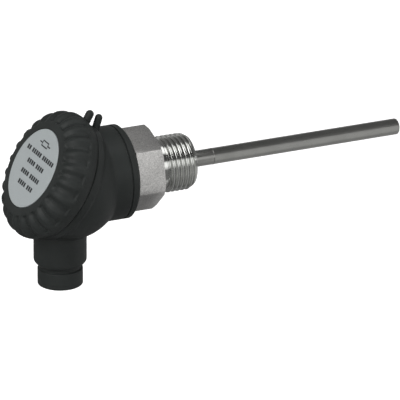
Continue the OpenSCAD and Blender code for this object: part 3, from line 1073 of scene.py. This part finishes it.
@dataclass
class Housing:
    """The moulded bowl with its rim, neck, collar, gland boss and seal lug."""

    finishes: Finishes
    bowl: float = 21.7
    wall: float = 2.2
    rim: float = 22.4
    rim_top: float = 1.4
    rim_foot: float = -2.2
    neck: float = 20.8
    neck_top: float = 10.1
    mouth: float = 18.8
    collar: float = 17.3
    collar_end: float = 11.1
    collar_bevel: float = 0.9
    groove_at: float = 14.1
    groove_width: float = 0.4
    groove_depth: float = 0.45
    floor: float = 22.9
    boss: float = 9.7
    boss_end: float = 32.0
    boss_taper: float = 1.7
    boss_tip: float = 8.3
    gland_bore: float = 6.95
    gland_shoulder: float = 21.0
    cable_way: float = 4.6
    stub_bore: float = 9.02
    ring_recess: float = 11.0
    lug_radius: float = 1.4
    lug_length: float = 6.4
    lug_foot: float = 21.9
    lug_lean_deg: float = 18.0
    voxel: float = 0.41
    thread_turns: float = 1.5
    beyond: float = 60.0
    ahead: float = 20.0

    def on_bench(self, place: Matrix, piece: Piece) -> Piece:
        """Places a part of the housing in the row frame, still in millimetres."""
        return move_local(piece, Matrix.Scale(1 / MM, 4) @ place)

    def bowl_blank(self) -> Piece:
        """Turns the bowl, its rim and its neck about the lid axis."""
        points = arc((0, 0), self.bowl, -90, -6, 24)
        points += [(self.rim, self.rim_foot + 0.9), (self.rim, self.rim_top), (self.neck, self.rim_top)]
        points += [(self.neck, self.neck_top), (0, self.neck_top)]
        return self.on_bench(ON_LID, turned("housing_shell", points, False, 128))

    def collar_blank(self) -> Piece:
        """Turns the collar's core about the probe axis."""
        start = -self.floor - 2
        end = -self.groove_at - self.groove_width / 2
        return self.on_bench(ON_PROBE, turned("collar_blank", rod(self.collar, start, end), False, 128))

    def boss_blank(self) -> Piece:
        """Turns the gland boss about the gland axis, trimmed below the lid."""
        points = [(0, 0), (self.boss, 0), (self.boss, self.boss_end - self.boss_taper)]
        points += [(self.boss_tip, self.boss_end), (0, self.boss_end)]
        boss = self.on_bench(ON_GLAND, turned("boss_blank", points, False, 96))
        above = rod(self.beyond, self.rim_top, self.beyond)
        cutter = self.on_bench(ON_LID, turned("lid_space", above, False, 48))
        return combine(boss, cutter, "DIFFERENCE")

    def lug(self) -> Piece:
        """Turns the seal lug that stands beside the lid's, with a flared foot."""
        radius = self.lug_radius
        tip = self.lug_length - radius
        points = [(0, -1.6), (radius + 0.5, -1.6), (radius + 0.45, 0.1), (radius + 0.15, 0.5), (radius, 1.1)]
        points += rows(points[-1], (radius * 0.98, tip), 3)
        points += arc((0, tip), radius * 0.98, 12, 90, 7)
        lug = turned("bowl_lug", points, False, 40)
        lean = Matrix.Rotation(math.radians(self.lug_lean_deg), 4, "Y")
        return move_local(lug, Matrix.Translation((-self.lug_foot, 0, self.collar)) @ lean)

    def hollows(self) -> list[Piece]:
        """Turns the tools that empty the bowl, the gland and the collar."""
        inner = self.bowl - self.wall
        chamber = arc((0, 0), inner, -90, 0, 24)
        chamber += [(self.mouth, 0.02), (self.mouth, self.neck_top + 2), (0, self.neck_top + 2)]
        chamber_tool = self.on_bench(ON_LID, turned("chamber_tool", chamber, False, 128))
        ahead = rod(self.beyond, -self.floor, self.ahead)
        floor_keep = self.on_bench(ON_PROBE, turned("floor_keep", ahead, False, 48))
        combine(chamber_tool, floor_keep, "DIFFERENCE")
        bore = rod(self.gland_bore, self.gland_shoulder, self.boss_end + 2)
        way = rod(self.cable_way, 2, self.gland_shoulder + 1)
        stub = rod(self.stub_bore, -self.floor - 1, 2)
        return [
            chamber_tool,
            self.on_bench(ON_GLAND, turned("gland_bore_tool", bore, False, 96)),
            self.on_bench(ON_GLAND, turned("cable_way_tool", way, False, 64)),
            self.on_bench(ON_PROBE, turned("stub_tool", stub, False, 96)),
        ]

    def shell(self) -> Piece:
        """Joins, hollows and softens the moulding.

        Returns:
            The shell in the row frame, in millimetres.
        """
        piece = self.bowl_blank()
        for part in (self.collar_blank(), self.boss_blank()):
            combine(piece, part, "UNION")
        for tool in self.hollows():
            combine(piece, tool, "DIFFERENCE")
        modify(piece, "REMESH", mode="VOXEL", voxel_size=self.voxel, use_smooth_shade=True)
        modify(piece, "SMOOTH", factor=0.5, iterations=5)
        return piece

    def collar_ring(self) -> Piece:
        """Turns the collar's end band, set off by the fine groove."""
        near = -self.groove_at + self.groove_width / 2
        back = near - self.groove_width - 1
        core = self.collar - self.groove_depth
        end = -self.collar_end
        points = [(self.stub_bore, back), (core, back), (core, near), (self.collar - 0.1, near)]
        points += [(self.collar, near + 0.1), (self.collar, end - self.collar_bevel)]
        points += rows(points[-1], (self.collar - self.collar_bevel, end - 0.12), 3)
        points += [(self.collar - self.collar_bevel - 0.12, end), (self.ring_recess, end)]
        points += [(self.ring_recess, end - 1.5), (self.stub_bore, end - 1.5)]
        return turned("collar_ring", points, True, 144)

    def neck_thread(self) -> Piece:
        """Builds the coarse ridge on the neck."""
        return ridge_thread("neck_thread", self.neck, 1, self.rim_top + 2.6, self.thread_turns, 120)

    def build(self) -> None:
        """Makes the housing's pieces and seats them."""
        to_metres = Matrix.Scale(MM, 4)
        Seat(to_metres, Body.HEAD, "head_plastic").settle(self.shell(), self.finishes.head, "housing", 60)
        details = ((self.collar_ring(), ON_PROBE), (self.neck_thread(), ON_LID), (self.lug(), to_metres))
        for piece, place in details:
            Seat(place, Body.HEAD, "head_plastic").settle(piece, self.finishes.head)


# ---------------------------------------------------------------- the cable gland


@dataclass
class GlandNut:
    """The round pressure nut below the gland boss; heights count down from the probe axis."""

    finishes: Finishes
    bore: float = 4.2
    shank: float = 6.87
    shank_top: float = 26.0
    neck_top: float = 32.1
    neck: float = 7.6
    head_top: float = 33.4
    head: float = 8.3
    bottom: float = 39.7
    edge: float = 0.45
    thread_pitch: float = 1.5

    def body(self) -> Piece:
        """Turns the nut with its recess, rounded edges and flared cable mouth."""
        root = self.shank - 0.7
        points = [(self.bore, self.shank_top + 0.5), (self.bore + 0.4, self.shank_top)]
        points += [(root, self.shank_top), (root, self.neck_top - 0.1)]
        points += [(self.neck - 0.3, self.neck_top), (self.neck, self.neck_top + 0.15)]
        points += [(self.neck, self.head_top - 0.15), (self.neck + 0.15, self.head_top)]
        points += arc((self.head - 0.3, self.head_top + 0.3), 0.3, -90, 0, 4)
        points += rows(points[-1], (self.head, self.bottom - self.edge), 4)
        points += arc((self.head - self.edge, self.bottom - self.edge), self.edge, 15, 90, 5)
        points += [(self.bore + 1.4, self.bottom)]
        points += arc((self.bore + 1.2, self.bottom - 1.2), 1.2, 80, 180, 6)
        return turned("gland_nut_body", points, True, 120)

    def build(self) -> None:
        """Makes the nut and its thread and seats them."""
        seat = Seat(ON_GLAND, Body.NUT, "head_plastic")
        seat.settle(self.body(), self.finishes.head, "gland_nut")
        thread = ScrewThread(
            crest=self.shank, depth=0.75, pitch=self.thread_pitch, start=self.shank_top,
            end=self.neck_top - 0.2, lead_in=0.5, lead_out=0.7, bore=self.bore + 0.5,
            points_per_turn=8, steps=72,
        ).build("gland_nut_thread")
        seat.settle(thread, self.finishes.head)


# ---------------------------------------------------------------- the process fitting


@dataclass
class ProcessFitting:
    """The turned fitting: stub, hexagon, pilot neck and pipe thread; heights count to the tip."""

    finishes: Finishes
    across_flats: float = 27.0
    hex_length: float = 11.1
    hex_turn_deg: float = 47.0
    corner_cut: float = 0.9
    face_circle: float = 14.3
    stub: float = 9.0
    stub_end: float = 22.4
    neck: float = 10.2
    neck_length: float = 3.1
    relief: float = 9.3
    relief_length: float = 0.9
    thread_crest: float = 10.4775
    thread_depth: float = 1.162
    thread_pitch: float = 1.814
    thread_end: float = 14.8
    passage: float = 4.5
    tube: float = 3.0
    envelope_room: float = 0.15
    edge: float = 0.16
    weld_sunk: float = 0.1

    @property
    def hex_corner(self) -> float:
        """Radius over the hexagon's corners."""
        return self.across_flats / 2 / math.cos(math.radians(30))

    def blank(self) -> Piece:
        """Turns the round envelope that chamfers the hexagon."""
        corner = self.hex_corner + self.envelope_room
        back = -self.hex_length
        points = [(0, back), (corner - 1.2, back), (corner, back + 0.7)]
        points += rows(points[-1], (corner, -self.corner_cut), 2)
        points += rows(points[-1], (self.face_circle, 0), 3)
        points += [(0, 0)]
        return turned("hexagon_envelope", points, False, 144)

    def hexagon(self) -> Piece:
        """Mills the hexagon: a six-sided bar inside the turned envelope, with soft edges."""
        deselect_all()
        bpy.ops.mesh.primitive_cylinder_add(
            vertices=6, radius=self.hex_corner, depth=self.hex_length,
            location=(0, 0, -self.hex_length / 2), rotation=(0, 0, math.radians(30 + self.hex_turn_deg)),
        )
        bar = bpy.context.object
        bar.name = "fitting_hexagon"
        apply_transform()
        combine(bar, self.blank(), "INTERSECT")
        return modify(
            bar, "BEVEL", width=self.edge, segments=2, limit_method="ANGLE", angle_limit=math.radians(25)
        )

    def neck_piece(self) -> Piece:
        """Turns the pilot neck, the relief groove and the stub as one piece through the hexagon."""
        reach = self.neck_length + self.relief_length
        points = [(self.passage, -self.stub_end + 0.4), (self.passage + 0.4, -self.stub_end)]
        points += [(self.stub - 0.8, -self.stub_end), (self.stub - 0.75, -self.hex_length + 0.5)]
        points += [(self.neck, -self.hex_length + 1), (self.neck, self.neck_length - 0.35)]
        points += [(self.neck - 0.3, self.neck_length), (self.relief, self.neck_length + 0.25)]
        points += [(self.relief, reach + 1.0), (self.tube + 0.02, reach + 1.0)]
        points += [(self.tube + 0.02, -9.0), (self.passage, -9.0)]
        return turned("fitting_neck", points, True, 144)

    def weld(self) -> Piece:
        """Turns the small brazed fillet where the tube leaves the fitting."""
        face = self.thread_end
        inner = self.tube - self.weld_sunk
        points = [(inner, face - 0.3), (self.tube + 0.75, face - 0.3), (self.tube + 0.7, face + 0.03)]
        points += [(self.tube + 0.3, face + 0.12), (self.tube + 0.1, face + 0.4), (inner, face + 0.7)]
        return turned("tube_weld", points, True, 72)

    def build(self) -> None:
        """Makes the fitting's pieces and seats them."""
        seat = Seat(ON_PROBE, Body.HEAD, "turned_steel")
        finish = self.finishes.thread
        seat.settle(self.hexagon(), self.finishes.hexagon, "process_fitting", 30)
        seat.settle(self.neck_piece(), finish)
        thread = ScrewThread(
            crest=self.thread_crest, depth=self.thread_depth, pitch=self.thread_pitch,
            start=self.neck_length + self.relief_length * 0.6, end=self.thread_end, lead_in=1.9, lead_out=0.8,
            bore=self.tube + 0.05, points_per_turn=14, steps=120,
        ).build("process_thread")
        seat.settle(thread, finish, "", 50)
        stub_thread = ScrewThread(
            crest=self.stub, depth=0.8, pitch=1.5, start=-self.stub_end + 0.3, end=-self.hex_length - 1.6,
            lead_in=0.5, lead_out=0.8, bore=self.passage + 1, points_per_turn=8, steps=60,
        ).build("stub_thread")
        seat.settle(stub_thread, finish)
        seat.settle(self.weld(), finish)


@dataclass
class ProtectionTube:
    """The drawn tube, closed and rounded at its tip, with a fine raised ring."""

    finishes: Finishes
    radius: float = 3.0
    bore: float = 2.5
    length: float = 100.0
    seat: float = 8.5
    seat_radius: float = 2.85
    taper_start: float = 13.8
    taper_end: float = 14.8
    ring_at: float = 24.6
    ring_half: float = 0.35
    ring_height: float = 0.09
    ring_steps: int = 8
    tip_wall: float = 1.0
    tip_round: float = 0.8

    def body(self) -> Piece:
        """Turns the tube."""
        end = self.length
        floor = end - self.tip_wall
        points = [(0, floor), (self.bore - 0.4, floor), (self.bore, floor - 0.4)]
        points += [(self.bore, -self.seat), (self.seat_radius, -self.seat)]
        points += [(self.seat_radius, self.taper_start), (self.radius, self.taper_end)]
        for step in range(self.ring_steps + 1):
            share = 2 * step / self.ring_steps - 1
            lift = self.ring_height * (0.5 + 0.5 * math.cos(HALF_TURN * share))
            points += [(self.radius + lift, self.ring_at + self.ring_half * share)]
        points += rows(points[-1], (self.radius, end - self.tip_round), 12)
        points += arc((self.radius - self.tip_round, end - self.tip_round), self.tip_round, 12, 90, 7)
        points += [(0, end)]
        return turned("tube_body", points, False, 96)

    def build(self) -> None:
        """Makes the tube and seats it."""
        Seat(ON_PROBE, Body.HEAD, "tube_steel").settle(self.body(), self.finishes.tube, "protection_tube")


# ---------------------------------------------------------------- inside the head


@dataclass
class Internals:
    """The kept solids inside the head and the tube: each gets its finish."""

    finishes: Finishes

    def table(self) -> dict[str, Material]:
        """Which finish each kept node takes."""
        finish = self.finishes
        return {
            "lid_gasket": finish.rubber,
            "gland_washer": finish.washer,
            "gland_seal": finish.rubber,
            "fitting_o_ring": finish.rubber,
            "sensing_element": finish.chip,
            "thermal_paste": finish.paste,
            "insulating_sleeve": finish.sleeve,
            "lead_wire_a": finish.red,
            "lead_wire_b": finish.white,
            "wire_ferrules": finish.tin,
            "potting_plug": finish.resin,
            "terminal_base": finish.ceramic,
            "terminal_plate_a": finish.brass,
            "terminal_plate_b": finish.brass,
            "terminal_screw_a": finish.screw,
            "terminal_screw_b": finish.screw,
            "base_screws": finish.screw,
        }

    def build(self) -> None:
        """Dresses the kept nodes."""
        for name, material in self.table().items():
            dress(frame["nodes"][name], material)
            LOG.info("%s: %s", name, material.name)


# ---------------------------------------------------------------- studio


@dataclass
class Studio:
    """Pale floor, soft lamps and the camera, in metres."""

    azimuth_deg: float = -24.1
    elevation_deg: float = 21.4
    roll_deg: float = 0.22
    distance: float = 2.1
    aim_right: float = 0.01812
    aim_up: float = -0.01229
    lens: float = 519.75
    floor_drop: float = 0.16
    floor_glow: float = 0.45
    floor_seen_in_metal: float = 0.2
    room_strength: float = 2.0
    room_bands: tuple[Point, ...] = (
        (-180, 0.12), (-118, 0.08), (-60, 0.14), (-20, 0.18), (0, 0.3), (12, 0.75), (26, 0.75),
        (34, 0.04), (60, 0.03), (72, 0.9), (94, 0.9), (102, 0.09), (150, 0.12), (176, 0.28),
    )

    def camera(self) -> None:
        """Sets the camera far off with a long lens."""
        turn, tilt = math.radians(self.azimuth_deg), math.radians(self.elevation_deg)
        right = Vector((math.cos(turn), math.sin(turn), 0))
        ahead = Vector((-math.sin(turn) * math.cos(tilt), math.cos(turn) * math.cos(tilt), -math.sin(tilt)))
        up = right.cross(ahead)
        place = -ahead * self.distance
        aim = right * self.aim_right + up * self.aim_up
        lens = bpy.data.cameras.new("camera")
        lens.lens = self.lens
        lens.sensor_width = SENSOR_MM
        lens.clip_start, lens.clip_end = CLIP_M
        camera = bpy.data.objects.new("camera", lens)
        bpy.context.scene.collection.objects.link(camera)
        camera.location = place
        roll = Quaternion((0, 0, 1), math.radians(self.roll_deg))
        camera.rotation_euler = ((aim - place).to_track_quat("-Z", "Y") @ roll).to_euler()
        bpy.context.scene.camera = camera

    def lamp(self, name: str, place: Colour, size: float, power: float) -> None:
        """Hangs a square soft lamp that looks at the head.

        Args:
            name: Name of the lamp.
            place: Where it hangs.
            size: Side of the lamp.
            power: Its power in watts.
        """
        light = bpy.data.lights.new(name, "AREA")
        light.size = size
        light.energy = power
        lamp = bpy.data.objects.new(name, light)
        bpy.context.scene.collection.objects.link(lamp)
        lamp.location = place
        lamp.rotation_euler = (-Vector(place)).to_track_quat("-Z", "Y").to_euler()

    def floor(self) -> None:
        """Lays the pale floor below the probe."""
        deselect_all()
        bpy.ops.mesh.primitive_plane_add(
            size=FLOOR_SIDE_M, location=(0, 0, CAD_BOX[0][2] - self.floor_drop)
        )
        floor = bpy.context.object
        floor.name = "floor"
        wiring = Wiring("floor")
        wiring.set(Base_Color=(0.9, 0.9, 0.9, 1), Roughness=0.9, Specular_IOR_Level=0.0)
        path = wiring.node("ShaderNodeLightPath")
        glow = wiring.node("ShaderNodeMath", operation="MULTIPLY")
        glow.inputs[1].default_value = self.floor_glow
        wiring.link(path.outputs["Is Camera Ray"], glow, 0)
        wiring.set(Emission_Color=(1, 1, 1, 1))
        wiring.feed("Emission Strength", glow.outputs[0])
        dim = wiring.node("ShaderNodeEmission", Strength=self.floor_seen_in_metal)
        swap = wiring.node("ShaderNodeMixShader")
        wiring.link(path.outputs["Is Glossy Ray"], swap, "Fac")
        wiring.link(wiring.shader.outputs["BSDF"], swap, 1)
        wiring.link(dim.outputs["Emission"], swap, 2)
        wiring.link(swap.outputs["Shader"], wiring.nodes["Material Output"], "Surface")
        dress(floor, wiring.material)

    def sky(self) -> None:
        """Paints the room: white to the camera, and bands of light round the probe axis in reflections."""
        world = bpy.data.worlds.new("room")
        bpy.context.scene.world = world
        room = Tree(world)
        place = room.node("ShaderNodeTexCoord")
        upright = (0, HALF_TURN / 2, HALF_TURN / 2)
        mapping = room.node("ShaderNodeMapping", vector_type="POINT", Rotation=upright)
        room.link(place.outputs["Generated"], mapping, "Vector")
        sweep = room.node("ShaderNodeTexGradient", gradient_type="RADIAL")
        room.link(mapping.outputs["Vector"], sweep, "Vector")
        bands = room.node("ShaderNodeValToRGB")
        room.link(sweep.outputs["Fac"], bands, "Fac")
        elements = bands.color_ramp.elements
        while len(elements) < len(self.room_bands):
            elements.new(1.0)
        for element, (angle_deg, level) in zip(elements, self.room_bands):
            element.position = 0.5 + angle_deg / 360
            element.color = (level, level, level, 1)
        path = room.node("ShaderNodeLightPath")
        mix = room.node("ShaderNodeMixShader")
        soft = room.nodes["Background"]
        soft.inputs["Strength"].default_value = self.room_strength
        room.link(bands.outputs["Color"], soft, "Color")
        white = room.node("ShaderNodeBackground", Color=(1, 1, 1, 1))
        room.link(path.outputs["Is Camera Ray"], mix, "Fac")
        room.link(soft.outputs["Background"], mix, 1)
        room.link(white.outputs["Background"], mix, 2)
        room.link(mix.outputs["Shader"], room.nodes["World Output"], "Surface")

    def card(
        self, name: str, centre: Colour, width: float, height: float, upright: bool, level: float
    ) -> None:
        """Hangs a card that only reflections see.

        Args:
            name: Name of the card.
            centre: Its centre, in millimetres.
            width: Its length along x, in millimetres.
            height: Its other side, in millimetres.
            upright: Whether it stands, facing y, or lies, facing z.
            level: How bright it is.
        """
        deselect_all()
        turn = HALF_TURN / 2 if upright else 0
        place = [c * MM for c in centre]
        bpy.ops.mesh.primitive_plane_add(size=1, location=place, rotation=(turn, 0, 0))
        card = bpy.context.object
        card.name = name
        card.scale = (width * MM, height * MM, 1)
        apply_transform()
        wiring = Wiring(name)
        wiring.set(Base_Color=(0, 0, 0, 1), Specular_IOR_Level=0.0)
        wiring.set(Emission_Color=(1, 1, 1, 1), Emission_Strength=level)
        dress(card, wiring.material)
        card.visible_camera = card.visible_shadow = card.visible_diffuse = False

    def build(self) -> None:
        """Sets up the studio."""
        self.camera()
        self.sky()
        self.floor()
        self.card("tube_flag", (166, -8, 36), 284, 100, False, 0.14)
        self.card("tube_reflector", (170, -60, -25), 270, 110, True, 0.8)
        self.card("tube_bounce", (170, 10, -75), 270, 160, False, 0.5)
        self.lamp("key", (-1.5, -0.7, 1.3), 1.0, 18)
        self.lamp("fill", (1.3, -0.9, 0.5), 1.2, 0.8)
        bpy.context.scene.view_settings.view_transform = "Standard"


def main() -> None:
    """Builds the studio and the probe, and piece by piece."""
    Studio().build()
    finishes = Finishes()
    Internals(finishes).build()
    ProtectionTube(finishes).build()
    ProcessFitting(finishes).build()
    Housing(finishes).build()
    GlandNut(finishes).build()
    Lid(finishes).build()


if __name__ == "__main__":
    main()
